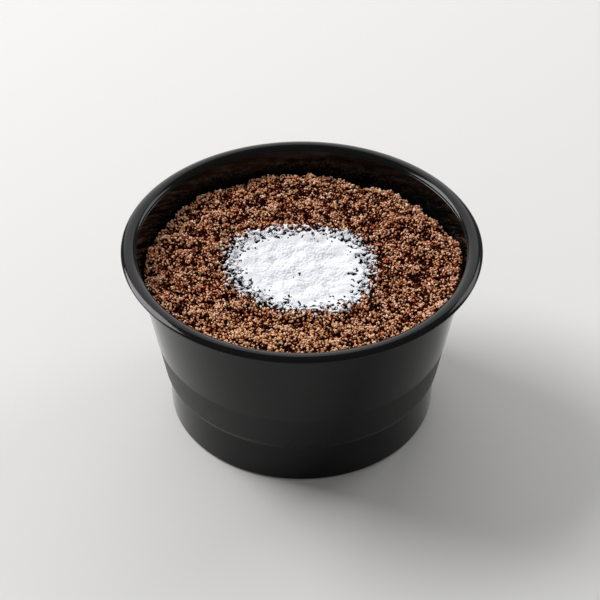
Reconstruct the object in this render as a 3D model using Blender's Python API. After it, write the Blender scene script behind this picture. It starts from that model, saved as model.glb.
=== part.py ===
"""A chocolate cheesecake in its own round plastic cup, topped with cake crumbs and a heap of icing sugar.

Run it with: blender --background --python part.py
Metres, +Z up. The origin is the centre of the cup's underside, on the surface that the cup stands on.
"""

import math
import random

import bmesh
import bpy
from mathutils import Euler, Matrix, Vector, geometry, noise

MM = 0.001

# The cup's outside, as radii and heights
RIM_RADIUS = 50.5 * MM
RIM_TOP = 55.4 * MM
LIP_THICKNESS = 1.0 * MM
LIP_DROOP = 0.3 * MM
LIP_INNER_RADIUS = 46.5 * MM
LIP_ARCH = 3.2 * MM
LIP_STEP_RADIUS = 46.45 * MM
LIP_STEP_HEIGHT = 54.25 * MM
MOUTH_RADIUS = 46.95 * MM
SHOULDER_RADIUS = 40.1 * MM
SHOULDER_HEIGHT = 14.6 * MM
FOOT_TOP_RADIUS = 39.0 * MM
FOOT_HEIGHT = 13.4 * MM
FOOT_RADIUS = 38.6 * MM

# The cup's inside and underside
WALL = 0.7 * MM
FLOOR_HEIGHT = 1.6 * MM
LID_SEAT_HEIGHT = 54.15 * MM
RECESS_RADIUS = 33.5 * MM
RECESS_DEPTH = 0.8 * MM
SEGMENTS = 72
ARC_STEPS = 2
EDGE_FILLET = 0.4 * MM
CORNER_FILLET = 0.9 * MM

# The cheesecake, out to its crumb surface
GAP = 0.3 * MM
CRUMB_LEVEL = 46.2 * MM
HIGH_SIDE_RISE = 2.4 * MM
HIGH_SIDE_START = 12.0 * MM
HIGH_SIDE_ANGLE = math.radians(8)
LUMP_SIZE = 7.5 * MM
LUMP_HEIGHT = 1.3 * MM
LUMPLET_SIZE = 4.0 * MM
LUMPLET_HEIGHT = 0.8 * MM
CRUMB_SPACING = 2.5 * MM

# The clumps of crumbs fused to it
CLUMP_COUNT = 120
CLUMP_RADII = (1.0 * MM, 2.3 * MM)
CLUMP_RISE = 0.15
CLUMP_ROUGHNESS = 0.22
CLUMP_FLATNESS = (0.6, 1.0)

# The icing sugar. Each set of lobes round its edge is given as a count, a depth and the angle of a crest
SUGAR_CENTRE = Vector((-0.5, -1.9)) * MM
SUGAR_RADIUS = 15.9 * MM
SUGAR_LOBES = ((2, 0.075, -21), (3, 0.084, 45), (4, 0.036, 24), (5, 0.029, 29))
SUGAR_THICKNESS = 1.3 * MM
SUGAR_EDGE = 0.45 * MM
SUGAR_BUMP_SIZE = 4.5 * MM
SUGAR_UNEVENNESS = 0.5
SUGAR_SPACING = 1.8 * MM
SUGAR_MARGIN = 1.2 * MM
LUMP_FADE = 3.0 * MM

CUP_COLOUR = (0.006, 0.006, 0.0065)
CRUMB_COLOUR = (0.136, 0.053, 0.031)
SUGAR_COLOUR = (0.82, 0.82, 0.86)


def clear_scene():
    for obj in list(bpy.data.objects):
        bpy.data.objects.remove(obj)


def principled(name, colour, roughness):
    material = bpy.data.materials.new(name)
    material.use_nodes = True
    shader = material.node_tree.nodes["Principled BSDF"]
    shader.inputs["Base Color"].default_value = (*colour, 1)
    shader.inputs["Roughness"].default_value = roughness
    shader.inputs["Metallic"].default_value = 0
    return material


def object_of(name, bm, material):
    """A smooth-shaded object from a bmesh, which this frees."""
    bmesh.ops.recalc_face_normals(bm, faces=bm.faces)
    mesh = bpy.data.meshes.new(name)
    bm.to_mesh(mesh)
    bm.free()
    mesh.materials.append(material)
    mesh.shade_smooth()
    obj = bpy.data.objects.new(name, mesh)
    bpy.context.scene.collection.objects.link(obj)
    return obj


def smoothstep(low, high, value):
    t = min(1, max(0, (value - low) / (high - low)))
    return t * t * (3 - 2 * t)


def rounded(corners):
    """An outline from corners given as (radius, height, fillet), with an arc where a fillet is given."""
    points = []
    for i, (r, z, fillet) in enumerate(corners):
        corner = Vector((r, z))
        if not fillet:
            points.append(corner)
            continue
        back = (Vector(corners[i - 1][:2]) - corner).normalized()
        ahead = (Vector(corners[i + 1][:2]) - corner).normalized()
        half = back.angle(ahead) / 2
        middle = corner + (back + ahead).normalized() * fillet / math.sin(half)
        start = corner + back * fillet / math.tan(half) - middle
        turn = math.copysign(math.pi - 2 * half, -back.cross(ahead))
        for k in range(ARC_STEPS + 1):
            points.append(middle + Matrix.Rotation(turn * k / ARC_STEPS, 2) @ start)
    return points


def wall_radius(height):
    """The cup's outer radius on its tapered wall, between the shoulder and the lip."""
    t = (height - SHOULDER_HEIGHT) / (RIM_TOP - LIP_THICKNESS - SHOULDER_HEIGHT)
    return SHOULDER_RADIUS + t * (MOUTH_RADIUS - SHOULDER_RADIUS)


def lip_point(across):
    """A place on the lip's arched top, from 1 at its outer edge to -1 at its inner edge."""
    reach = (RIM_RADIUS - LIP_INNER_RADIUS) / 2
    height = RIM_TOP - LIP_ARCH + math.sqrt(LIP_ARCH**2 - (across * reach) ** 2)
    return LIP_INNER_RADIUS + reach * (1 + across), height, 0


def cup_outline():
    """The cup's section: the underside from its middle, the outside, the lip, the inside and the floor."""
    lip_under = RIM_TOP - LIP_THICKNESS
    underside = [
        (0, RECESS_DEPTH, 0),
        (RECESS_RADIUS, RECESS_DEPTH, 0),
        (RECESS_RADIUS + RECESS_DEPTH, 0, 0),
        (FOOT_RADIUS, 0, CORNER_FILLET),
    ]
    outside = [
        (FOOT_TOP_RADIUS, FOOT_HEIGHT, 0),
        (SHOULDER_RADIUS, SHOULDER_HEIGHT, CORNER_FILLET),
        (MOUTH_RADIUS, lip_under, 0),
    ]
    lip = [(RIM_RADIUS, lip_under - LIP_DROOP, EDGE_FILLET)]
    for across in (1, 0.5, 0, -0.5, -1):
        lip.append(lip_point(across))
    lip += [
        (LIP_STEP_RADIUS, LIP_STEP_HEIGHT, 0),
        (wall_radius(LID_SEAT_HEIGHT) - WALL, LID_SEAT_HEIGHT, 0),
    ]
    inside = [
        (SHOULDER_RADIUS - WALL, SHOULDER_HEIGHT + GAP, 0),
        (FOOT_TOP_RADIUS - WALL, FOOT_HEIGHT + GAP, 0),
        (FOOT_RADIUS - WALL, FLOOR_HEIGHT, CORNER_FILLET),
        (0, FLOOR_HEIGHT, 0),
    ]
    return rounded(underside + outside + lip + inside)


def cup(material):
    """The cup, turned from its section."""
    bm = bmesh.new()
    verts = [bm.verts.new((p.x, 0, p.y)) for p in cup_outline()]
    edges = [bm.edges.new(pair) for pair in zip(verts, verts[1:])]
    bmesh.ops.spin(bm, geom=verts + edges, cent=(0, 0, 0), axis=(0, 0, 1), angle=math.tau,
                   steps=SEGMENTS, use_merge=True)
    bmesh.ops.remove_doubles(bm, verts=bm.verts, dist=0.001 * MM)
    obj = object_of("cup", bm, material)
    obj.data.set_sharp_from_angle(angle=math.radians(40))


def sugar_edge(angle):
    """The radius of the sugar's lobed edge, at an angle round the sugar's centre."""
    wave = 0
    for count, depth, crest in SUGAR_LOBES:
        wave += depth * math.cos(count * (angle - math.radians(crest)))
    return SUGAR_RADIUS * (1 + wave)


def past_sugar(x, y):
    """How far a place on the crumbs lies outside the sugar's edge, less than zero under the sugar."""
    place = Vector((x, y)) - SUGAR_CENTRE
    return place.length - sugar_edge(math.atan2(place.y, place.x))


def bed_height(x, y):
    """The level of the crumbs without their lumps: almost flat, and heaped up to one side."""
    side = x * math.cos(HIGH_SIDE_ANGLE) + y * math.sin(HIGH_SIDE_ANGLE)
    return CRUMB_LEVEL + HIGH_SIDE_RISE * smoothstep(HIGH_SIDE_START, wall_radius(CRUMB_LEVEL), side)


def crumb_height(x, y):
    """The crumb surface: lumps and smaller lumps, which fade out under the sugar."""
    lump = LUMP_HEIGHT * noise.noise(Vector((x, y, 0)) / LUMP_SIZE)
    lumplet = LUMPLET_HEIGHT * noise.noise(Vector((x, y, LUMP_SIZE)) / LUMPLET_SIZE)
    return bed_height(x, y) + smoothstep(0, LUMP_FADE, past_sugar(x, y)) * (lump + lumplet)


def disc(edge, spacing, rng):
    """Points, the ones on its edge first, and triangles over a disc with a radius for each angle."""
    points = []
    for k in range(SEGMENTS):
        angle = math.tau * k / SEGMENTS
        points.append(Vector((math.cos(angle), math.sin(angle))) * edge(angle))
    row_step = spacing * math.sin(math.radians(60))
    count = math.ceil(max(p.length for p in points) / row_step)
    for row in range(-count, count + 1):
        for column in range(-count, count + 1):
            offset = Vector((rng.uniform(-0.2, 0.2), rng.uniform(-0.2, 0.2))) * spacing
            point = Vector(((column + 0.5 * (row % 2)) * spacing, row * row_step)) + offset
            if point.length < edge(math.atan2(point.y, point.x)) - 0.6 * spacing:
                points.append(point)
    loop = [(k, (k + 1) % SEGMENTS) for k in range(SEGMENTS)]
    points, _, faces, *_ = geometry.delaunay_2d_cdt(points, loop, [], 1, 0.001 * MM)
    return points, faces


def skirt(bm, upper, lower):
    """Joins two rings of vertices with a band of faces."""
    for k in range(SEGMENTS):
        after = (k + 1) % SEGMENTS
        bm.faces.new([upper[k], lower[k], lower[after], upper[after]])


def cheesecake(material, rng):
    """The filling out to its crumb surface, a little clear of the cup all round."""
    edge = wall_radius(CRUMB_LEVEL) - WALL - GAP
    side = [
        (SHOULDER_RADIUS - WALL - GAP, SHOULDER_HEIGHT + 2 * GAP),
        (FOOT_TOP_RADIUS - WALL - GAP, FOOT_HEIGHT + 2 * GAP),
        (FOOT_RADIUS - WALL - GAP, FLOOR_HEIGHT + GAP + CORNER_FILLET),
        (FOOT_RADIUS - WALL - GAP - CORNER_FILLET, FLOOR_HEIGHT + GAP),
    ]
    points, faces = disc(lambda angle: edge, CRUMB_SPACING, rng)
    bm = bmesh.new()
    top = [bm.verts.new((p.x, p.y, crumb_height(p.x, p.y))) for p in points]
    for face in faces:
        bm.faces.new([top[i] for i in face])
    ring = top[:SEGMENTS]
    for radius, height in side:
        spots = [p.to_3d() * radius / edge + Vector((0, 0, height)) for p in points[:SEGMENTS]]
        lower = [bm.verts.new(spot) for spot in spots]
        skirt(bm, ring, lower)
        ring = lower
    bm.faces.new(ring)
    bmesh.ops.triangulate(bm, faces=bm.faces)
    return object_of("cheesecake", bm, material)


def clump_places(rng):
    """Where the clumps of crumbs lie, largest first: spread out, clear of the wall and of the sugar."""
    radii = sorted((rng.triangular(*CLUMP_RADII, CLUMP_RADII[0]) for _ in range(CLUMP_COUNT)), reverse=True)
    wall = wall_radius(CRUMB_LEVEL) - WALL - GAP
    places = []
    for radius in radii:
        size = radius * (1 + CLUMP_ROUGHNESS)
        for _ in range(200):
            angle = rng.uniform(0, math.tau)
            distance = (wall - size) * math.sqrt(rng.random())
            x, y = distance * math.cos(angle), distance * math.sin(angle)
            near = any(math.hypot(x - a, y - b) < size + other for a, b, other in places)
            if not near and past_sugar(x, y) > SUGAR_MARGIN + size:
                places.append((x, y, size))
                break
    return places


def clump(x, y, size, rng):
    """A bmesh of one uneven clump, partly sunk in the crumb surface."""
    bm = bmesh.new()
    bmesh.ops.create_icosphere(bm, subdivisions=1, radius=1)
    turn = Euler([rng.uniform(0, math.tau) for _ in range(3)]).to_matrix()
    height = rng.uniform(*CLUMP_FLATNESS)
    radius = size / (1 + CLUMP_ROUGHNESS)
    centre = Vector((x, y, crumb_height(x, y) + radius * CLUMP_RISE))
    for v in bm.verts:
        shape = turn @ v.co * rng.uniform(1 - CLUMP_ROUGHNESS, 1 + CLUMP_ROUGHNESS)
        shape.z *= height
        v.co = centre + shape * radius
    return bm


def fuse_clumps(core, rng):
    """Joins the clumps to the core with one Boolean union, and removes them."""
    clumps = bpy.data.collections.new("clumps")
    bpy.context.scene.collection.children.link(clumps)
    for x, y, size in clump_places(rng):
        piece = object_of("clump", clump(x, y, size, rng), core.data.materials[0])
        bpy.context.scene.collection.objects.unlink(piece)
        clumps.objects.link(piece)
    union = core.modifiers.new("fuse clumps", "BOOLEAN")
    union.operation = "UNION"
    union.operand_type = "COLLECTION"
    union.collection = clumps
    union.solver = "EXACT"
    fused = bpy.data.meshes.new_from_object(core.evaluated_get(bpy.context.evaluated_depsgraph_get()))
    core.modifiers.clear()
    core.data = fused
    for piece in list(clumps.objects):
        bpy.data.objects.remove(piece)
    bpy.data.collections.remove(clumps)


def sugar(material, rng):
    """The icing sugar: a thin uneven heap on the smooth part of the crumb surface."""
    points, faces = disc(sugar_edge, SUGAR_SPACING, rng)
    bm = bmesh.new()
    lower, upper = [], []
    for p in points:
        x, y = p + SUGAR_CENTRE
        inward = -past_sugar(x, y) / SUGAR_RADIUS
        bump = 1 + SUGAR_UNEVENNESS * noise.noise(Vector((x, y, 0)) / SUGAR_BUMP_SIZE)
        heap = (SUGAR_THICKNESS - SUGAR_EDGE) * smoothstep(0, 0.35, inward) * bump
        base = bed_height(x, y) + GAP
        lower.append(bm.verts.new((x, y, base)))
        upper.append(bm.verts.new((x, y, base + SUGAR_EDGE + heap)))
    for a, b, c in faces:
        bm.faces.new([upper[a], upper[b], upper[c]])
        bm.faces.new([lower[c], lower[b], lower[a]])
    skirt(bm, upper, lower)
    bmesh.ops.triangulate(bm, faces=bm.faces)
    object_of("sugar", bm, material)


def build():
    clear_scene()
    rng = random.Random(7)
    cup(principled("cup_plastic", CUP_COLOUR, 0.25))
    core = cheesecake(principled("crumb", CRUMB_COLOUR, 0.9), rng)
    fuse_clumps(core, rng)
    sugar(principled("icing_sugar", SUGAR_COLOUR, 0.95), rng)


build()
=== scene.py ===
"""The looks of a chocolate cheesecake in its black plastic cup, with cake crumbs and icing sugar on top.

Everything is in metres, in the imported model's frame: +Z up, the origin under the middle of the cup.
"""

import math
from collections import namedtuple

import bmesh
import bpy
import numpy as np
from mathutils import Matrix, Vector, noise
from mathutils.bvhtree import BVHTree

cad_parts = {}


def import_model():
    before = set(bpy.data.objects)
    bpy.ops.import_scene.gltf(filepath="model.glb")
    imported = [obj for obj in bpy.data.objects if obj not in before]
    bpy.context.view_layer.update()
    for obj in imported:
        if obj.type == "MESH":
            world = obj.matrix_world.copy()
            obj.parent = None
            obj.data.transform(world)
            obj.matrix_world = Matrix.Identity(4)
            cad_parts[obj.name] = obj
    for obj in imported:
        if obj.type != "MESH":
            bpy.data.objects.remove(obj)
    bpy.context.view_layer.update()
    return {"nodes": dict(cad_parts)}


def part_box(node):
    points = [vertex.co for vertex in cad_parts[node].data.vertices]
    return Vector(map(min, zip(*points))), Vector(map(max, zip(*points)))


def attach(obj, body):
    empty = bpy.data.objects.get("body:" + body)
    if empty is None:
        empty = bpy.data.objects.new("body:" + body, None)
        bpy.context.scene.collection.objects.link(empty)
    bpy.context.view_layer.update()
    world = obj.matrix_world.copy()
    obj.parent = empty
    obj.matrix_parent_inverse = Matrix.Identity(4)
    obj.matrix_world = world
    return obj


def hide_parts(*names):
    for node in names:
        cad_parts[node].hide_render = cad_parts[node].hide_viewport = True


MM = 0.001
SEED = 11

# The cup's outside, as radii and heights. The lip's top is an arch, with points at these places across it
RIM_RADIUS = 50.5 * MM
RIM_TOP = 55.4 * MM
LIP_THICKNESS = 1.0 * MM
LIP_DROOP = 0.3 * MM
LIP_INNER_RADIUS = 46.5 * MM
LIP_ARCH = 3.2 * MM
LIP_STEP_RADIUS = 46.45 * MM
LIP_STEP_HEIGHT = 54.25 * MM
LIP_ACROSS = np.linspace(0.8, -0.8, 9)
MOUTH_RADIUS = 46.95 * MM
SHOULDER_RADIUS = 40.1 * MM
SHOULDER_HEIGHT = 14.6 * MM
FOOT_TOP_RADIUS = 39.0 * MM
FOOT_HEIGHT = 13.4 * MM
FOOT_RADIUS = 38.6 * MM

# A matt band round the wall, from the shoulder up to here
BAND_TOP = 26.8 * MM
BAND_SINK = 0.1 * MM
BAND_EDGE = 1.2 * MM

# The cup's inside and underside
WALL = 0.7 * MM
FLOOR_HEIGHT = 1.6 * MM
LID_SEAT_HEIGHT = 54.15 * MM
RECESS_RADIUS = 33.5 * MM
RECESS_DEPTH = 0.8 * MM

# The fillets of the cup's section
RECESS_FILLET = 0.4 * MM
FOOT_FILLET = 0.9 * MM
FOOT_TOP_FILLET = 1.9 * MM
SHOULDER_FILLET = 2.0 * MM
MOUTH_FILLET = 0.5 * MM
LIP_EDGE_FILLET = 0.25 * MM
LIP_TOP_FILLET = 0.2 * MM
INNER_SHOULDER_FILLET = 0.6 * MM
INNER_FOOT_TOP_FILLET = 0.4 * MM

# How finely the cup is turned
CUP_SEGMENTS = 216
ARC_STEP = math.radians(9)
WELD = 0.001 * MM

# The grid of heights over the cup's mouth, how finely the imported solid's top is read into it, and how far
# a blur reaches, in parts of its size
GRID_REACH = 46.4 * MM
GRID_STEP = 0.16 * MM
SOLID_SAMPLES = 146
SOLID_BLUR = 0.9 * MM
BLUR_REACH = 2.5

# The crumbs' level, and their gap to the wall
CRUMB_LEVEL = 46.2 * MM
WALL_GAP = 0.15 * MM

# The bed is the surface between the loose crumbs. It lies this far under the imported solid's top, as they
# rise past it. Its side turns in this far above the shoulder, and ends this far from the wall at the floor
BED_SUNK = 0.25 * MM
BED_ROWS = 181
BED_TONE = 0.3
BED_ABOVE_SHOULDER = 1 * MM
BED_INSET = 2 * MM

# The bed's lumps, as layers of noise. Here and below, a layer is a size, a height and the number of its
# pattern. The lumps have this share of their height under the sugar, and all of it this far past the heap
LUMPS = ((5.0 * MM, 1.4 * MM, 0), (2.6 * MM, 0.8 * MM, 3.7), (1.3 * MM, 0.3 * MM, 7.4))
LUMPS_UNDER_SUGAR = 0.3
LUMPS_FULL = 8 * MM

# Next to the wall, between these radii, the bed sags by a mean depth and unevenly
SAG_RADII = (42.5 * MM, 45 * MM)
SAG = 0.6 * MM
SAG_UNEVEN = ((4 * MM, 1.2 * MM, 20),)

# Where the crumbs are piled against the wall, and where they fall away from it: the middle of that
# stretch, how far it reaches to each side, the height, and the radii between which it changes
Stretch = namedtuple("Stretch", "middle reach height radii")
WALL_PILE = Stretch(math.radians(-25), math.radians(50), 1.5 * MM, (38 * MM, 45 * MM))
WALL_HOLLOW = Stretch(math.radians(45), math.radians(40), 2.8 * MM, (40 * MM, 44 * MM))

# How deep the crumb material takes a vertex to lie: the relief of the crumbs, the size and depth of the
# valleys between lumps, and the depth at the crumbs' mean level. By this depth the material paints light
# and shade: paler at the tops, darker down in the gaps and the valleys
RELIEF = 0.4 * MM
VALLEY_SIZE = 2.2 * MM
VALLEY_DEPTH = 1.9 * MM
DEPTH_AT_LEVEL = 0.4

# The icing sugar: where it lies thick, and where it dusts the crumbs. Each patch is a centre, a radius, and
# lobes round it as (count, depth, angle of a crest)
Patch = namedtuple("Patch", "centre radius lobes")
SUGAR_HEAP = Patch((0.15 * MM, -2.6 * MM), 15.1 * MM,
                   ((2, 0.064, -33), (3, 0.059, 43), (4, 0.037, -43)))
SUGAR_DUSTING = Patch((-0.5 * MM, -2.0 * MM), 18.0 * MM,
                      ((2, 0.087, -10), (3, 0.058, 41), (4, 0.032, -42)))

# The heap is a sheet that lies this thick on the crumbs, softens their forms, and has a side this high
SUGAR_ROWS = 291
SUGAR_THICKNESS = 0.6 * MM
CRUMBS_SOFTENED = 1.0 * MM
SUGAR_SIDE = 1 * MM

# The heap's own lumps and its crust, with the crust's heights at the heap's edge and inside it. Both grow
# from the first to the second of two distances past the edge, which are less than zero inside it
SUGAR_LUMPS = ((5.0 * MM, 0.72 * MM, 31), (2.2 * MM, 0.32 * MM, 33))
SUGAR_LUMPS_FADE = (3 * MM, -3 * MM)
SUGAR_CRUST = ((0.75 * MM, 1.0, 35), (0.4 * MM, 0.5, 36))
CRUST_HEIGHTS = (0.06 * MM, 0.2 * MM)
CRUST_FADE = (0, -4 * MM)

# Near the heap's edge and past it the sugar breaks up into flecks. They are where this noise is above a
# level, which is given at distances past the edge and made uneven. At thin spots the level is up to this
# much higher, so that crumbs show through as near-black painted shade. Each spot is an x, a y and a radius
SUGAR_FLECK = 1.35 * MM
FLECKS = ((SUGAR_FLECK, 1.0, 37), (SUGAR_FLECK / 2, 0.5, 38))
FLECK_PLACES = (-2 * MM, -1 * MM, 0, 1.2 * MM, 2.6 * MM, 4.2 * MM, 6 * MM, 8.5 * MM)
FLECK_LEVELS = (-1.0, -0.72, -0.48, -0.27, -0.11, 0.04, 0.25, 0.75)
FLECKS_UNEVEN = ((4 * MM, 0.15, 39),)
THIN_SPOT_LEVEL = 0.9
THIN_SPOTS = ((-2.6 * MM, 2.2 * MM, 1.6 * MM), (-1.9 * MM, -5.0 * MM, 1.9 * MM),
              (5.2 * MM, 3.3 * MM, 0.8 * MM), (14.3 * MM, -5.1 * MM, 1.0 * MM),
              (8.4 * MM, -14.4 * MM, 1.0 * MM))

# Between the flecks the sugar sinks this far, as its cover falls from one value to the other, and the
# sugar material paints it near-black there, as painted shade. It sinks twice as far from the second of
# these distances past the heap's edge
SUGAR_SUNK = 1.8 * MM
SINKING = (-0.02, -0.14)
SUNK_TWICE = (0, 6 * MM)

# The dusting fades out across its edge, with patches in it there. Past the heap's edge it whitens the
# crumbs' tips, and loose grains of sugar lie in it. Where it lies the crumb material also paints the
# crumbs near-black, as painted shade
DUSTING_FADE = (-4.0 * MM, 5.0 * MM)
DUSTING_MOST = 0.65
DUSTING_PATCHES = ((3 * MM, 0.35, 41),)
PATCHES_FADE = (6 * MM, 2 * MM)
TIPS_FADE = (0, 3 * MM)
GRAINS_FADE = (1 * MM, 3 * MM)

# Loose crumbs: how many, the radius of the smallest and the largest, the subdivisions of the ball that they
# start from, and how high they lie on the others, as a share of the radius
Kind = namedtuple("Kind", "count smallest largest subdivisions rise")
CRUMB_KINDS = {
    "crumb_clumps": Kind(60, 1.1 * MM, 2.1 * MM, 4, -0.15),
    "crumb_nuggets": Kind(1500, 0.62 * MM, 0.95 * MM, 2, 0.35),
    "crumb_granules": Kind(6200, 0.5 * MM, 0.66 * MM, 1, 0.45),
    "crumb_grains": Kind(8000, 0.36 * MM, 0.5 * MM, 1, 0.5),
}
SUGAR_GRAINS = Kind(900, 0.14 * MM, 0.3 * MM, 1, 0.3)

# Under the heap nearly all loose crumbs are left out, from the second of these distances inside its edge
LEFT_OUT = 0.98
LEFT_OUT_FADE = (0, 3 * MM)

# How crumbs fall: a power below 1 makes small ones more common, each takes the best of a few places, and
# it raises the surface like a flattened ball
SIZE_POWER = 0.8
PLACES_TRIED = 4
FLATTENED = 0.85

# A crumb has one of a few shapes, stretched its own way. A shape is the outline of small balls stuck
# together, in parts of its radius: how many there are and how large they are on fine meshes, which are
# smooth and have at least these subdivisions, and on coarse ones, how far they stick out, and the least
# radius between them
SHAPE_COUNT = 12
FINE_FROM = 3
FINE_BALLS = (34, (0.26, 0.42))
COARSE_BALLS = (9, (0.4, 0.62))
BALLS_REACH = (0.75, 1.05)
LEAST_RADIUS = 0.5
STRETCHED = (0.8, 1.15)

# Painted light: crumbs get paler towards the front, between these places on the Y axis
PAINTED_FRONT_LIGHT = (-10 * MM, -36 * MM)

# The camera, fitted to the photograph's ellipses
CAMERA_TARGET = Vector((-0.5, 0, 34.18)) * MM
CAMERA_ELEVATION = math.radians(39.43)
CAMERA_DISTANCE = 499.5 * MM
CAMERA_LENS = 104.4
CAMERA_CLIP = 0.01

# The studio's soft square lights, each a name, a place, a size and a power, and the place they shine at
LIGHTS = (("key", (-1.3, 0.7, 1.25), 1.0, 34), ("side", (1.2, 1.0, 1.15), 0.7, 6),
          ("panel", (-0.2, 2.3, 1.3), 2.6, 29))
LIGHTS_AIM = Vector((0, 0, 45 * MM))
SURROUNDINGS = 0.29
FLOOR_REACH = 4


def smoothstep(low, high, value):
    """A share that goes smoothly from 0 at the first value to 1 at the second, which can be lower."""
    t = np.clip((value - low) / (high - low), 0, 1)
    return t * t * (3 - 2 * t)


def add_object(name, data):
    obj = bpy.data.objects.new(name, data)
    bpy.context.scene.collection.objects.link(obj)
    return obj


def mesh_object(name, verts, faces, smooth=True):
    mesh = bpy.data.meshes.new(name)
    mesh.from_pydata(np.asarray(verts).tolist(), [], faces)
    if smooth:
        mesh.shade_smooth()
    return add_object(name, mesh)


def set_attribute(obj, name, values):
    """A number for each vertex, which the materials read by this name."""
    attribute = obj.data.attributes.new(name, "FLOAT", "POINT")
    attribute.data.foreach_set("value", np.asarray(values, np.float32))


def places_of(obj):
    """The x, y and z of an object's vertices."""
    co = np.empty(len(obj.data.vertices) * 3, np.float32)
    obj.data.vertices.foreach_get("co", co)
    return co.reshape(-1, 3).T


# The cup


def rounded(corners):
    """An outline from corners given as (radius, height, fillet), with an arc where a fillet is given."""
    points = []
    for i, (r, z, fillet) in enumerate(corners):
        corner = Vector((r, z))
        if not fillet:
            points.append(corner)
            continue
        back = (Vector(corners[i - 1][:2]) - corner).normalized()
        ahead = (Vector(corners[i + 1][:2]) - corner).normalized()
        half = back.angle(ahead) / 2
        middle = corner + (back + ahead).normalized() * fillet / math.sin(half)
        start = corner + back * fillet / math.tan(half) - middle
        turn = math.copysign(math.pi - 2 * half, -back.cross(ahead))
        steps = max(2, math.ceil(abs(turn) / ARC_STEP))
        for k in range(steps + 1):
            points.append(middle + Matrix.Rotation(turn * k / steps, 2) @ start)
    return points


def wall_radius(height):
    """The cup's outer radius on its tapered wall, between the shoulder and the lip."""
    t = (height - SHOULDER_HEIGHT) / (RIM_TOP - LIP_THICKNESS - SHOULDER_HEIGHT)
    return SHOULDER_RADIUS + t * (MOUTH_RADIUS - SHOULDER_RADIUS)


def lip_point(across):
    """A place on the lip's arched top, from 1 at its outer edge to -1 at its inner edge."""
    reach = (RIM_RADIUS - LIP_INNER_RADIUS) / 2
    height = RIM_TOP - LIP_ARCH + math.sqrt(LIP_ARCH**2 - (across * reach) ** 2)
    return LIP_INNER_RADIUS + reach * (1 + across), height


def cup_outline():
    """The cup's section: from the underside's middle round the outside, lip and inside to the floor."""
    lip_under = RIM_TOP - LIP_THICKNESS
    underside = [
        (0, RECESS_DEPTH, 0),
        (RECESS_RADIUS, RECESS_DEPTH, RECESS_FILLET),
        (RECESS_RADIUS + RECESS_DEPTH, 0, RECESS_FILLET),
        (FOOT_RADIUS, 0, FOOT_FILLET),
    ]
    outside = [
        (FOOT_TOP_RADIUS, FOOT_HEIGHT, FOOT_TOP_FILLET),
        (SHOULDER_RADIUS, SHOULDER_HEIGHT, SHOULDER_FILLET),
        (wall_radius(BAND_TOP - BAND_EDGE) - BAND_SINK, BAND_TOP - BAND_EDGE, 0),
        (wall_radius(BAND_TOP), BAND_TOP, 0),
        (MOUTH_RADIUS, lip_under, MOUTH_FILLET),
    ]
    lip = [
        (RIM_RADIUS, lip_under - LIP_DROOP, LIP_EDGE_FILLET),
        (*lip_point(1), LIP_TOP_FILLET),
    ]
    for across in LIP_ACROSS:
        lip.append((*lip_point(across), 0))
    lip += [
        (*lip_point(-1), LIP_TOP_FILLET),
        (LIP_STEP_RADIUS, LIP_STEP_HEIGHT, 0),
        (wall_radius(LID_SEAT_HEIGHT) - WALL, LID_SEAT_HEIGHT, LIP_TOP_FILLET),
    ]
    inside = [
        (SHOULDER_RADIUS - WALL, SHOULDER_HEIGHT, INNER_SHOULDER_FILLET),
        (FOOT_TOP_RADIUS - WALL, FOOT_HEIGHT, INNER_FOOT_TOP_FILLET),
        (FOOT_RADIUS - WALL, FLOOR_HEIGHT, FOOT_FILLET),
        (0, FLOOR_HEIGHT, 0),
    ]
    return rounded(underside + outside + lip + inside)


def make_cup():
    """The turned cup, with the matt band marked on its outside."""
    bm = bmesh.new()
    verts = [bm.verts.new((p.x, 0, p.y)) for p in cup_outline()]
    edges = [bm.edges.new(pair) for pair in zip(verts, verts[1:])]
    bmesh.ops.spin(bm, geom=verts + edges, cent=(0, 0, 0), axis=(0, 0, 1), angle=math.tau,
                   steps=CUP_SEGMENTS, use_merge=True)
    bmesh.ops.remove_doubles(bm, verts=bm.verts, dist=WELD)
    bmesh.ops.recalc_face_normals(bm, faces=bm.faces)
    mesh = bpy.data.meshes.new("cup_shell")
    bm.to_mesh(mesh)
    bm.free()
    mesh.shade_smooth()
    obj = add_object("cup_shell", mesh)
    x, y, z = places_of(obj)
    outside = np.hypot(x, y) > wall_radius(z) - WALL / 2
    set_attribute(obj, "matt", outside & (z > SHOULDER_HEIGHT) & (z < BAND_TOP - BAND_EDGE / 2))
    return obj


# The crumb surface, as grids of heights


class Heights:
    """A square grid of heights over the cup's mouth, which can be read at any place."""

    side = 2 * round(GRID_REACH / GRID_STEP) + 1
    line = np.linspace(-GRID_REACH, GRID_REACH, side)
    x, y = np.meshgrid(line, line, indexing="ij")
    radius = np.hypot(x, y)

    def __init__(self, values):
        self.values = values

    def at(self, x, y):
        i = np.clip((x + GRID_REACH) / GRID_STEP, 0, self.side - 1.001)
        j = np.clip((y + GRID_REACH) / GRID_STEP, 0, self.side - 1.001)
        i0, j0 = i.astype(int), j.astype(int)
        u, v = i - i0, j - j0
        z = self.values
        low = z[i0, j0] * (1 - v) + z[i0, j0 + 1] * v
        high = z[i0 + 1, j0] * (1 - v) + z[i0 + 1, j0 + 1] * v
        return low * (1 - u) + high * u

    @staticmethod
    def nearest(x, y):
        """The grid point that is nearest to a place."""
        return round((x + GRID_REACH) / GRID_STEP), round((y + GRID_REACH) / GRID_STEP)

    def above(self, other, x, y):
        """How much higher this grid is at a place than another."""
        point = self.nearest(x, y)
        return self.values[point] - other.values[point]

    def window(self, x, y, reach):
        """The grid slices round a place, and how far each point in them is from it."""
        i, j = self.nearest(x, y)
        span = math.ceil(reach / GRID_STEP)
        rows = slice(max(0, i - span), i + span + 1)
        columns = slice(max(0, j - span), j + span + 1)
        return rows, columns, np.hypot(self.x[rows, columns] - x, self.y[rows, columns] - y)


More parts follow.
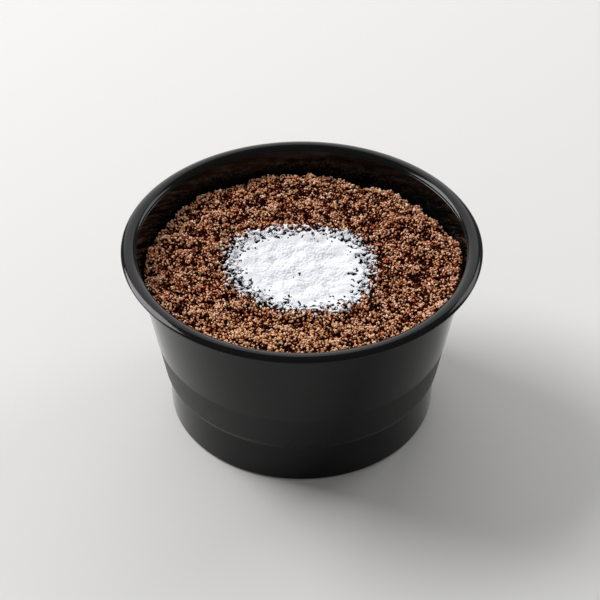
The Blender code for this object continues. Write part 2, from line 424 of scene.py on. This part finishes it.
def layered(layers):
    """Smooth noise over the grid, added up from layers of a size, a height and a pattern's number."""
    total = 0
    for size, height, pattern in layers:
        places = zip((Heights.x / size).ravel(), (Heights.y / size).ravel())
        flat = np.array([noise.noise((x, y, pattern)) for x, y in places])
        total = total + height * flat.reshape(Heights.x.shape)
    return total


def blurred(values, size):
    """The grid with everything finer than about that size smoothed away."""
    reach = math.ceil(BLUR_REACH * size / GRID_STEP)
    weights = np.exp(-0.5 * (np.arange(-reach, reach + 1) * GRID_STEP / size) ** 2)
    weights /= weights.sum()
    for axis in (0, 1):
        padded = np.pad(values, [(reach, reach) if k == axis else (0, 0) for k in (0, 1)], mode="edge")
        total = 0
        for k, weight in enumerate(weights):
            total = total + weight * np.take(padded, range(k, k + values.shape[axis]), axis)
        values = total
    return values


def solid_heights(node):
    """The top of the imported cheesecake, a little smoothed. Its edge's height goes on outside it."""
    tree = BVHTree.FromObject(node, bpy.context.evaluated_depsgraph_get())
    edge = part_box("cheesecake")[1].x - 2 * WALL_GAP
    line = np.linspace(-GRID_REACH, GRID_REACH, SOLID_SAMPLES)
    values = np.full((SOLID_SAMPLES, SOLID_SAMPLES), CRUMB_LEVEL)
    for i, j in np.ndindex(values.shape):
        place = Vector((line[i], line[j]))
        place *= min(1, edge / max(place.length, GRID_STEP))
        hit = tree.ray_cast(Vector((*place, RIM_TOP)), Vector((0, 0, -1)))[0]
        if hit:
            values[i, j] = hit.z
    rows = np.array([np.interp(Heights.line, line, row) for row in values])
    return blurred(np.array([np.interp(Heights.line, line, column) for column in rows.T]).T, SOLID_BLUR)


def edge_radius(patch, angle):
    """The radius of a lobed patch, at angles round its centre."""
    wave = 0
    for count, depth, crest in patch.lobes:
        wave = wave + depth * np.cos(count * (angle - math.radians(crest)))
    return patch.radius * (1 + wave)


def past_edge(patch):
    """How far each place on the grid lies outside a lobed patch, less than zero inside it."""
    dx, dy = Heights.x - patch.centre[0], Heights.y - patch.centre[1]
    return np.hypot(dx, dy) - edge_radius(patch, np.arctan2(dy, dx))


def within(stretch, x, y):
    """How far inside a stretch of the wall the direction of a place is, from 0 to 1."""
    return smoothstep(stretch.reach, stretch.reach / 2, np.abs(np.arctan2(y, x) - stretch.middle))


def brim(x, y):
    """How far the crumbs can reach towards the wall in the direction of a place."""
    return wall_radius(CRUMB_LEVEL + 2 * WALL_PILE.height * within(WALL_PILE, x, y)) - WALL - WALL_GAP


def crumb_bed(solid):
    """The surface between the loose crumbs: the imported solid's form with finer lumps on it."""
    share = LUMPS_UNDER_SUGAR + (1 - LUMPS_UNDER_SUGAR) * smoothstep(0, LUMPS_FULL, past_edge(SUGAR_HEAP))
    lumps = share * layered(LUMPS)
    sag = smoothstep(*SAG_RADII, Heights.radius) * (SAG + layered(SAG_UNEVEN))
    pile = within(WALL_PILE, Heights.x, Heights.y)
    rise = WALL_PILE.height * smoothstep(*WALL_PILE.radii, Heights.radius)
    hollow = within(WALL_HOLLOW, Heights.x, Heights.y)
    fall = WALL_HOLLOW.height * smoothstep(*WALL_HOLLOW.radii, Heights.radius)
    return Heights(solid - BED_SUNK + lumps - sag * (1 - pile) + rise * pile - fall * hollow)


def disc_points(rows):
    """A square grid bent into the unit disc: its points' x and y, its faces, and its rim's points."""
    line = np.linspace(-1, 1, rows)
    a, b = np.meshgrid(line, line, indexing="ij")
    wide = np.abs(a) >= np.abs(b)
    radius = np.where(wide, a, b)
    ratio = np.where(wide, b, a) / np.where(radius == 0, 1, radius)
    angle = np.where(wide, math.pi / 4 * ratio, math.pi / 2 - math.pi / 4 * ratio)
    index = np.arange(rows * rows).reshape(rows, rows)
    corners = [index[:-1, :-1], index[1:, :-1], index[1:, 1:], index[:-1, 1:]]
    faces = np.stack([c.ravel() for c in corners], 1)
    rim = np.concatenate([index[:-1, 0], index[-1, :-1], index[:0:-1, -1], index[0, :0:-1]])
    return (radius * np.cos(angle)).ravel(), (radius * np.sin(angle)).ravel(), faces, rim


def solid_under(name, x, y, z, faces, rim, rings):
    """A closed object under a top surface. Each ring is a list of the rim's points lower down."""
    verts = [np.stack([x, y, z], 1)]
    all_faces = faces.tolist()
    upper = rim
    start = len(x)
    for ring in rings:
        verts.append(ring)
        lower = np.arange(start, start + len(rim))
        band = np.stack([upper, lower, np.roll(lower, -1), np.roll(upper, -1)], 1)
        all_faces += band.tolist()
        upper = lower
        start += len(rim)
    all_faces.append(upper[::-1].tolist())
    return mesh_object(name, np.concatenate(verts), all_faces)


def make_bed(bed):
    """The cheesecake with its crumb surface, down to the cup's floor."""
    unit_x, unit_y, faces, rim = disc_points(BED_ROWS)
    reach = brim(unit_x, unit_y)
    x, y = unit_x * reach, unit_y * reach
    turn_in = SHOULDER_HEIGHT + BED_ABOVE_SHOULDER
    side = [
        (wall_radius(turn_in) - WALL - 2 * WALL_GAP, turn_in),
        (FOOT_TOP_RADIUS - WALL - 2 * WALL_GAP, FOOT_HEIGHT),
        (FOOT_RADIUS - WALL - BED_INSET, FLOOR_HEIGHT + 2 * WALL_GAP),
    ]
    rings = []
    for radius, height in side:
        heights = np.full(len(rim), height)
        rings.append(np.stack([unit_x[rim] * radius, unit_y[rim] * radius, heights], 1))
    obj = solid_under("crumb_bed", x, y, bed.at(x, y), faces, rim, rings)
    set_attribute(obj, "tone", np.full(len(obj.data.vertices), BED_TONE))
    return obj


# Loose crumbs


def ball(subdivisions):
    """The points and triangles of a unit ball."""
    bm = bmesh.new()
    bmesh.ops.create_icosphere(bm, subdivisions=subdivisions, radius=1)
    bm.verts.index_update()
    verts = np.array([v.co for v in bm.verts])
    faces = np.array([[v.index for v in f.verts] for f in bm.faces])
    bm.free()
    return verts, faces


def crumb_shapes(subdivisions, rng):
    """Uneven crumbs of radius one, each the outline of small balls stuck together, and their triangles."""
    directions, faces = ball(subdivisions)
    count, sizes = FINE_BALLS if subdivisions >= FINE_FROM else COARSE_BALLS
    shapes = []
    for _ in range(SHAPE_COUNT):
        centres = rng.normal(size=(count, 3))
        centres /= np.linalg.norm(centres, axis=1)[:, None]
        radii = rng.uniform(*sizes, count)
        centres *= (rng.uniform(*BALLS_REACH, count) - radii)[:, None]
        along = directions @ centres.T
        inside = along**2 - (centres**2).sum(1) + radii**2
        reach = np.where(inside > 0, along + np.sqrt(np.maximum(inside, 0)), 0).max(1)
        shapes.append(directions * np.maximum(reach, LEAST_RADIUS)[:, None])
    return np.array(shapes), faces


def random_turns(count, rng):
    """Rotation matrices from random quaternions."""
    q = rng.normal(size=(4, count))
    w, x, y, z = q / np.linalg.norm(q, axis=0)
    return np.stack([
        np.stack([1 - 2 * (y * y + z * z), 2 * (x * y - z * w), 2 * (x * z + y * w)], -1),
        np.stack([2 * (x * y + z * w), 1 - 2 * (x * x + z * z), 2 * (y * z - x * w)], -1),
        np.stack([2 * (x * z - y * w), 2 * (y * z + x * w), 1 - 2 * (x * x + y * y)], -1),
    ], -2)


def place(radius, rng, allowed):
    """A random place clear of the wall that passes a test."""
    while True:
        angle = rng.uniform(0, math.tau)
        x, y = math.cos(angle), math.sin(angle)
        distance = (brim(x, y) - radius) * math.sqrt(rng.random())
        x, y = distance * x, distance * y
        if rng.random() < allowed.at(np.array(x), np.array(y)):
            return x, y


def drop(kind, top, rng, allowed, level, choose=min):
    """Lets crumbs fall on the surface one by one, largest first, and raises it where each lies.

    Each takes the lowest of a few places against a level, as crumbs roll into the gaps between others.
    """
    spread = rng.power(SIZE_POWER, kind.count)
    radii = np.sort(kind.smallest + (kind.largest - kind.smallest) * spread)[::-1]
    places = []
    for radius in radii:
        tries = [place(radius, rng, allowed) for _ in range(PLACES_TRIED)]
        x, y = choose(tries, key=lambda spot: top.above(level, *spot))
        rows, columns, distance = top.window(x, y, radius)
        around = top.values[rows, columns]
        z = around[distance < radius].mean() + kind.rise * radius
        cap = z + np.sqrt(np.maximum(radius**2 - distance**2, 0)) * FLATTENED
        around[distance < radius] = np.maximum(around, cap)[distance < radius]
        places.append((x, y, z))
    return np.array(places), radii


def scatter(name, kind, places, radii, rng):
    """One object of many crumbs, each turned and stretched its own way."""
    shapes, faces = crumb_shapes(kind.subdivisions, rng)
    count = len(places)
    stretch = rng.uniform(*STRETCHED, (count, 1, 3)) * radii[:, None, None]
    verts = shapes[rng.integers(len(shapes), size=count)] * stretch
    verts = np.einsum("nij,nvj->nvi", random_turns(count, rng), verts) + places[:, None, :]
    size = shapes.shape[1]
    all_faces = (faces[None] + (np.arange(count) * size)[:, None, None]).reshape(-1, 3).tolist()
    obj = mesh_object(name, verts.reshape(-1, 3), all_faces, kind.subdivisions >= FINE_FROM)
    set_attribute(obj, "tone", np.repeat(rng.uniform(0, 1, count), size))
    return obj


def make_crumbs(bed, material, rng):
    """Drops the loose crumbs on the bed. Gives their objects, and the surface with the crumbs on it."""
    top = Heights(bed.values.copy())
    allowed = Heights(1 - LEFT_OUT * smoothstep(*LEFT_OUT_FADE, -past_edge(SUGAR_HEAP)))
    pieces = []
    for name, kind in CRUMB_KINDS.items():
        places, radii = drop(kind, top, rng, allowed, Heights(top.values.copy()))
        obj = scatter(name, kind, places, radii, rng)
        finish_piece(obj, material)
        pieces.append(obj)
    return pieces, top


def add_looks(pieces, top, level, dust_and_shade):
    """Stores what the crumb material needs of each vertex: how deep it lies, and the sugar on it.

    The depth is 0 at the tops and 1 down in the gaps, and a little more in the valleys between lumps. The
    material paints light and shade by it: paler at the tops, darker down in the gaps and the valleys.
    Sugar whitens the tips of the crumbs only past the heap's edge. Further in, and wherever sugar dusts
    them, the material paints them near-black, as painted shade in the gaps between the flecks.
    """
    # Painted shade: the valleys between lumps are taken deeper, so the material darkens them
    painted_valley_shade = Heights(blurred(top.values, VALLEY_SIZE) - level.values)
    tips = Heights(dust_and_shade.values * smoothstep(*TIPS_FADE, past_edge(SUGAR_HEAP)))
    for obj in pieces:
        x, y, z = places_of(obj)
        depth = (level.at(x, y) - z) / (2 * RELIEF) + DEPTH_AT_LEVEL + painted_valley_shade.at(x, y) / VALLEY_DEPTH
        set_attribute(obj, "depth", np.clip(depth, 0, 1))
        set_attribute(obj, "dust_and_shade", dust_and_shade.at(x, y))
        set_attribute(obj, "tips", tips.at(x, y))


# The icing sugar


def sugar_dust():
    """How thickly sugar dusts the crumbs, which also sets where the crumb material paints shade."""
    outward = past_edge(SUGAR_DUSTING)
    patches = layered(DUSTING_PATCHES) * smoothstep(*PATCHES_FADE, np.abs(outward))
    return Heights(np.clip(1 - smoothstep(*DUSTING_FADE, outward) + patches, 0, DUSTING_MOST))


def sugar_cover():
    """Where sugar lies: more than 0 on the heap and its flecks, less in the gaps between them."""
    wanted = np.interp(past_edge(SUGAR_HEAP), FLECK_PLACES, FLECK_LEVELS) + layered(FLECKS_UNEVEN)
    for x, y, radius in THIN_SPOTS:
        distance = np.hypot(Heights.x - x, Heights.y - y)
        wanted += THIN_SPOT_LEVEL * np.exp(-((distance / radius) ** 2))
    return Heights(layered(FLECKS) - wanted)


def sugar_surface(crumbs, cover):
    """The top of the sugar over a bed of crumbs. It softens them, and sinks under them in the gaps.

    Its own lumps and its fine crust are weaker towards the heap's edge and past it.
    """
    outward = past_edge(SUGAR_HEAP)
    lumps = layered(SUGAR_LUMPS) * smoothstep(*SUGAR_LUMPS_FADE, outward)
    low, high = CRUST_HEIGHTS
    crust = layered(SUGAR_CRUST) * (low + (high - low) * smoothstep(*CRUST_FADE, outward))
    sunk = SUGAR_SUNK * (1 + smoothstep(*SUNK_TWICE, outward)) * smoothstep(*SINKING, cover.values)
    return Heights(blurred(crumbs, CRUMBS_SOFTENED) + SUGAR_THICKNESS - sunk + lumps + crust)


def make_heap(surface, cover):
    """The heap with its flecks, as one sheet that is closed underneath."""
    unit_x, unit_y, faces, rim = disc_points(SUGAR_ROWS)
    reach = edge_radius(SUGAR_HEAP, np.arctan2(unit_y, unit_x)) + FLECK_PLACES[-1]
    x = SUGAR_HEAP.centre[0] + unit_x * reach
    y = SUGAR_HEAP.centre[1] + unit_y * reach
    z = surface.at(x, y)
    below = np.stack([x[rim], y[rim], z[rim] - SUGAR_SIDE], 1)
    obj = solid_under("sugar_heap", x, y, z, faces, rim, [below])
    x, y, _ = places_of(obj)
    set_attribute(obj, "cover", cover.at(x, y))
    return obj


def add_sugar(bed, top, level, dust_and_shade, rng):
    """The heap, and loose grains of sugar on the crumbs past its edge."""
    icing = sugar_material()
    outward = past_edge(SUGAR_HEAP)
    crumbs = bed.values + (top.values - bed.values)[outward >= 0].mean()
    cover = sugar_cover()
    surface = sugar_surface(np.maximum(top.values, crumbs), cover)
    heap = make_heap(surface, cover)
    finish_piece(heap, icing)
    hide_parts("sugar")

    highest = Heights(np.maximum(top.values, surface.values))
    fringe = Heights(dust_and_shade.values * smoothstep(*GRAINS_FADE, outward))
    places, radii = drop(SUGAR_GRAINS, highest, rng, fringe, level, choose=max)
    grains = scatter("sugar_grains", SUGAR_GRAINS, places, radii, rng)
    set_attribute(grains, "cover", np.ones(len(grains.data.vertices)))
    finish_piece(grains, icing)


# Materials


class Nodes:
    """Shorthand for building a material's nodes."""

    def __init__(self, name):
        self.material = bpy.data.materials.new(name)
        self.material.use_nodes = True
        self.tree = self.material.node_tree
        self.shader = self.tree.nodes["Principled BSDF"]

    def feed(self, socket, value):
        """Links a socket to another node's output, or gives it a plain value."""
        if isinstance(value, bpy.types.NodeSocket):
            self.tree.links.new(value, socket)
        else:
            socket.default_value = value

    def add(self, kind, inputs, **settings):
        node = self.tree.nodes.new(kind)
        for key, value in settings.items():
            setattr(node, key, value)
        for key, value in inputs.items():
            self.feed(node.inputs[key], value)
        return node.outputs[0]

    def set(self, **inputs):
        """Sets or links the shader's sockets, whose names are given with _ for a space."""
        for key, value in inputs.items():
            self.feed(self.shader.inputs[key.replace("_", " ")], value)

    def attribute(self, name):
        node = self.tree.nodes.new("ShaderNodeAttribute")
        node.attribute_name = name
        return node.outputs["Fac"]

    def place(self):
        """The object's own coordinates."""
        return self.tree.nodes.new("ShaderNodeTexCoord").outputs["Object"]

    def across(self, axis):
        """The object's own coordinate along an axis."""
        node = self.tree.nodes.new("ShaderNodeSeparateXYZ")
        self.tree.links.new(self.place(), node.inputs[0])
        return node.outputs[axis]

    def noise(self, size, detail=2.0, roughness=0.5, stretch=(1, 1, 1)):
        """Noise over the object's own coordinates, with features about that size in metres."""
        place = self.add("ShaderNodeMapping", {"Vector": self.place(), "Scale": stretch})
        return self.add("ShaderNodeTexNoise", {"Vector": place, "Scale": 1 / size, "Detail": detail,
                                               "Roughness": roughness})

    def span(self, value, low, high, to_low=0.0, to_high=1.0):
        """A value moved from one span to another, and kept inside it."""
        return self.add("ShaderNodeMapRange", {"Value": value, "From Min": low, "From Max": high,
                                               "To Min": to_low, "To Max": to_high})

    def math(self, operation, a, b):
        return self.add("ShaderNodeMath", {0: a, 1: b}, operation=operation)

    def mix(self, factor, a, b):
        node = self.tree.nodes.new("ShaderNodeMix")
        node.data_type = "RGBA"
        for socket, value in ((0, factor), (6, a), (7, b)):
            self.feed(node.inputs[socket], value)
        return node.outputs[2]

    def bump(self, height, distance, strength=1.0, normal=None):
        inputs = {"Height": height, "Distance": distance, "Strength": strength}
        if normal:
            inputs["Normal"] = normal
        return self.add("ShaderNodeBump", inputs)


def colour(r, g, b):
    """A linear colour from one given as it looks on screen, from 0 to 255."""
    shades = [c / 255 / 12.92 if c <= 10 else ((c / 255 + 0.055) / 1.055) ** 2.4 for c in (r, g, b)]
    return (*shades, 1)


def cup_material():
    """Glossy black plastic with faint upright streaks, matt where the band round the wall is."""
    n = Nodes("cup_plastic")
    matt = n.attribute("matt")
    mottle = n.noise(3.5 * MM, detail=4)
    fine = n.noise(0.25 * MM, detail=2)
    streaks = n.noise(0.8 * MM, detail=2, stretch=(1, 1, 0.02))
    gloss = n.span(n.math("ADD", mottle, streaks), 0.6, 1.4, 0.07, 0.13)
    rough = n.math("ADD", gloss, n.math("MULTIPLY", matt, 0.3))
    n.set(Base_Color=n.mix(mottle, colour(4, 5, 6), colour(9, 10, 11)), Roughness=rough, IOR=1.3)
    wave = n.bump(streaks, 0.006 * MM, strength=0.6)
    n.set(Normal=n.bump(fine, n.span(matt, 0, 1, 0.002 * MM, 0.02 * MM), normal=wave))
    return n.material


def crumb_brown(n, speckle, depth, tone):
    """The brown of a crumb: its own tone, paler in speckles, with painted light and shade: paler at the top
    and towards the front, darker down in the gaps.
    """
    light = n.math("ADD", n.math("MULTIPLY", tone, 0.35), n.span(speckle, 0.4, 0.6, -0.12, 0.22))
    # Painted light and shade: paler at the tops, darker down in the gaps
    light = n.math("ADD", light, n.span(depth, 0.0, 0.7, 0.6, 0.0))
    # Painted light: paler towards the front
    light = n.math("ADD", light, n.span(n.across("Y"), *PAINTED_FRONT_LIGHT, 0.0, 0.36))
    ramp = n.tree.nodes.new("ShaderNodeValToRGB")
    stops = ramp.color_ramp.elements
    stops[0].position, stops[0].color = 0.0, colour(60, 12, 1)
    stops[1].position, stops[1].color = 1.0, colour(244, 164, 104)
    for position, shade in ((0.35, colour(136, 46, 11)), (0.75, colour(208, 106, 48))):
        stops.new(position).color = shade
    n.tree.links.new(light, ramp.inputs[0])
    ochre = n.mix(light, colour(86, 34, 10), colour(255, 205, 140))
    patch = n.noise(5 * MM, detail=2)
    return n.mix(n.span(patch, 0.5, 0.65, 0.0, 0.35), ramp.outputs[0], ochre)


def crumb_material():
    """Dry chocolate cake crumbs with painted highlights on their tips, painted shade in the gaps and where
    sugar dusts them, and white where sugar fell.
    """
    n = Nodes("crumb")
    speckle = n.noise(0.6 * MM, detail=2, roughness=0.55)
    depth, tone, dust_and_shade = n.attribute("depth"), n.attribute("tone"), n.attribute("dust_and_shade")
    # Painted highlights: pale tips where the speckle is high near the tops, more towards the front
    painted_highlight = n.math("SUBTRACT", speckle, n.math("MULTIPLY", depth, 0.15))
    painted_highlight = n.math("ADD", painted_highlight, n.span(n.across("Y"), *PAINTED_FRONT_LIGHT, 0.0, 0.055))
    brown = crumb_brown(n, speckle, depth, tone)
    brown = n.mix(n.span(painted_highlight, 0.45, 0.52, 0.0, 0.85), brown, colour(255, 220, 182))
    # Painted shade: dark red-brown down in the gaps
    brown = n.mix(n.span(depth, 0.55, 0.95), brown, colour(62, 13, 2))
    # Painted shade: near-black where sugar dusts the crumbs, for the gaps between the flecks
    brown = n.mix(n.span(dust_and_shade, 0.15, 0.6, 0.0, 0.92), brown, colour(10, 5, 3))
    cover = n.math("SUBTRACT", n.math("MULTIPLY", tone, 0.3), depth)
    threshold = n.span(n.attribute("tips"), 0.0, 0.65, 0.26, -0.4)
    white = n.span(n.math("SUBTRACT", cover, threshold), -0.03, 0.03)
    n.set(Base_Color=n.mix(white, brown, colour(250, 250, 252)), Roughness=0.7, Specular_IOR_Level=0.08)
    n.set(Normal=n.bump(n.noise(0.25 * MM, detail=2, roughness=0.7), 0.12 * MM, strength=0.8))
    return n.material


def sugar_material():
    """Icing sugar: a soft white powder with a fine grain, and near-black painted shade in its gaps."""
    n = Nodes("icing_sugar")
    grain = n.noise(0.22 * MM, detail=3, roughness=0.7)
    cloud = n.noise(2.5 * MM, detail=2)
    tint = n.mix(cloud, colour(230, 231, 237), colour(244, 245, 250))
    cover = n.math("ADD", n.attribute("cover"), n.span(grain, 0.3, 0.7, -0.03, 0.03))
    white = n.span(cover, 0.04, 0.08)
    # Painted shade: near-black brown where the sugar's cover is low, in the gaps between flecks
    n.set(Base_Color=n.mix(white, colour(18, 9, 6), tint), Roughness=0.95, Specular_IOR_Level=0.2)
    n.set(Normal=n.bump(grain, 0.06 * MM, strength=0.9))
    return n.material


def floor_material():
    n = Nodes("floor")
    n.set(Base_Color=colour(224, 223, 221), Roughness=0.6, Specular_IOR_Level=0.3)
    return n.material


# The studio


def make_camera():
    camera = add_object("camera", bpy.data.cameras.new("camera"))
    camera.data.lens = CAMERA_LENS
    camera.data.clip_start = CAMERA_CLIP
    back = Vector((0, -math.cos(CAMERA_ELEVATION), math.sin(CAMERA_ELEVATION)))
    camera.location = CAMERA_TARGET + back * CAMERA_DISTANCE
    camera.rotation_euler = (-back).to_track_quat("-Z", "Y").to_euler()
    bpy.context.scene.camera = camera


def make_light(name, place, size, power):
    """A soft square light that shines at the cheesecake."""
    light = add_object(name, bpy.data.lights.new(name, "AREA"))
    light.data.size = size
    light.data.energy = power
    light.location = place
    light.rotation_euler = (LIGHTS_AIM - Vector(place)).to_track_quat("-Z", "Y").to_euler()


def make_studio():
    world = bpy.data.worlds.new("studio")
    bpy.context.scene.world = world
    world.use_nodes = True
    background = world.node_tree.nodes["Background"]
    background.inputs["Color"].default_value = colour(250, 250, 250)
    background.inputs["Strength"].default_value = SURROUNDINGS
    for light in LIGHTS:
        make_light(*light)
    corners = [(x * FLOOR_REACH, y * FLOOR_REACH, 0) for x, y in ((-1, -1), (1, -1), (1, 1), (-1, 1))]
    floor = mesh_object("floor", corners, [(0, 1, 2, 3)], smooth=False)
    floor.data.materials.append(floor_material())
    bpy.context.scene.view_settings.view_transform = "Standard"


def finish_piece(obj, material):
    obj.data.materials.append(material)
    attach(obj, "root")


def main():
    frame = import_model()
    rng = np.random.default_rng(SEED)

    cup = make_cup()
    finish_piece(cup, cup_material())
    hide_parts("cup")

    bed = crumb_bed(solid_heights(frame["nodes"]["cheesecake"]))
    crumb = crumb_material()
    bed_object = make_bed(bed)
    finish_piece(bed_object, crumb)
    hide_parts("cheesecake")

    loose, top = make_crumbs(bed, crumb, rng)
    level = Heights(blurred(top.values, RELIEF))
    dust_and_shade = sugar_dust()
    add_looks([bed_object, *loose], top, level, dust_and_shade)
    add_sugar(bed, top, level, dust_and_shade, rng)

    make_camera()
    make_studio()


main()
